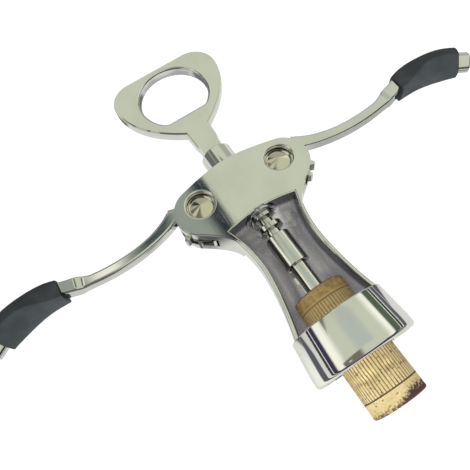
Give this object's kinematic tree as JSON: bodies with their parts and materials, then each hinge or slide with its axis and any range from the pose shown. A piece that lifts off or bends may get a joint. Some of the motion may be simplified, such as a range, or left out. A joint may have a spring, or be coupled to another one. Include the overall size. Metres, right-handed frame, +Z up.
{
  "type": "wing corkscrew",
  "caption": "Double-lever wing corkscrew lying on its back, with rack spindle, bottle-opener handle, soft grips and a cork on its worm.",
  "frame": {"origin": "centre of the footprint on the ground, midway between the opener's top and the cork's lower end", "axes": "+Y along the spindle towards the opener handle, +X towards the right lever as seen from the window's side, +Z up out of the open window"},
  "size_m": [0.252, 0.1884, 0.0433],
  "materials": {
    "casting_chrome": "polished chrome on a zinc casting, edges softened",
    "lever_chrome": "polished chrome on a forged arm",
    "steel": "bright turned steel with fine turning marks",
    "pin_steel": "polished domed heads",
    "bush_steel": "bright pressed ring",
    "cap_chrome": "polished chrome",
    "grip_rubber": "soft-touch, dull sheen",
    "cork": "natural cork with fine grain and dark pores"
  },
  "bodies": {
    "frame": {"frame_casting": "casting_chrome", "right_pivot_pin": "pin_steel", "left_pivot_pin": "pin_steel", "right_pivot_cap": "pin_steel", "left_pivot_cap": "pin_steel"},
    "bush": {"guide_bush": "bush_steel"},
    "spindle": {"opener_handle": "casting_chrome", "rack_spindle": "steel", "worm_shank": "steel", "worm": "steel", "cork": "cork"},
    "right_wing": {"right_lever": "lever_chrome", "right_grip": "grip_rubber", "right_end_cap": "cap_chrome"},
    "left_wing": {"left_lever": "lever_chrome", "left_grip": "grip_rubber", "left_end_cap": "cap_chrome"}
  },
  "joints": [
    {"name": "handle_turn", "type": "hinge", "parent": "frame", "child": "bush", "pos_m": [0, 0, 0.02163], "axis": [0, 1, 0], "continuous": true},
    {"name": "spindle_slide", "type": "slide", "parent": "bush", "child": "spindle", "axis": [0, 1, 0], "range_m": [-0.0117, 0.0208]},
    {"name": "right_pivot", "type": "hinge", "parent": "frame", "child": "right_wing", "pos_m": [0.0199, 0.01105, 0.02163], "axis": [0, 0, 1], "range_deg": [-80, 45]},
    {"name": "left_pivot", "type": "hinge", "parent": "frame", "child": "left_wing", "pos_m": [-0.0199, 0.01105, 0.02163], "axis": [0, 0, 1], "range_deg": [-45, 80]}
  ],
  "couplings": [
    {"joint": "right_pivot", "follows": "spindle_slide", "rad_per_m": -67.114},
    {"joint": "left_pivot", "follows": "spindle_slide", "rad_per_m": 67.114}
  ]
}
